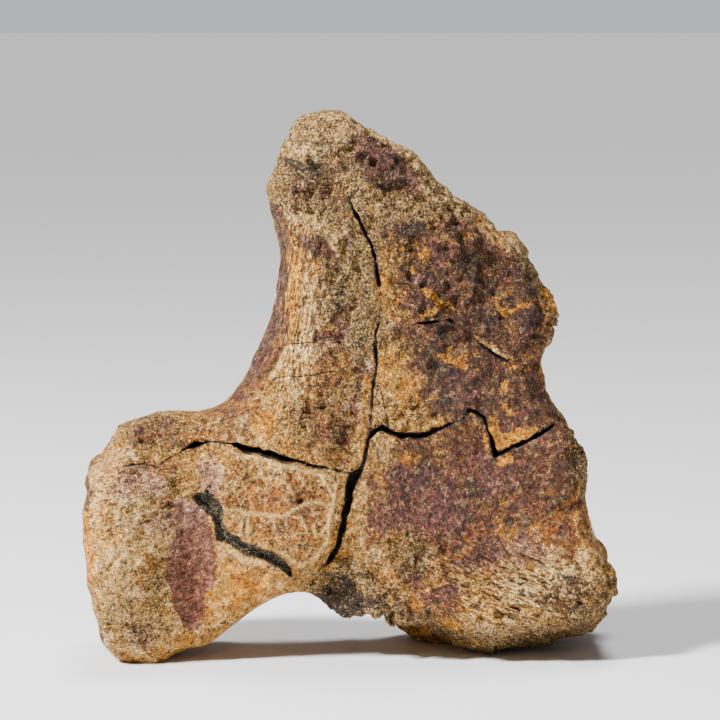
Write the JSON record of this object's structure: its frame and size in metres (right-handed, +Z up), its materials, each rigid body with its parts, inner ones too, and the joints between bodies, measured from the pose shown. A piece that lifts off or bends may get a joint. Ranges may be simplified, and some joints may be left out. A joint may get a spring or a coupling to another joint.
{
  "type": "fossil vertebra",
  "caption": "Weathered fossil dinosaur vertebra: a spool-shaped centrum standing on its worn rims, with a tall blade-like neural spine, sandy matrix and deep drying cracks.",
  "frame": {"origin": "on the table, under the middle of the bone's bounding box", "axes": "+Z up, +X along the centrum towards its right end as seen from the kept side, and the kept side faces -Y"},
  "size_m": [0.1368, 0.0634, 0.1408],
  "materials": {
    "fossil_bone": "matt, sandy and pitted, in tan, rust and plum-brown with cream bone fibres"
  },
  "bodies": {
    "root": {"vertebra": "fossil_bone"}
  },
  "joints": []
}
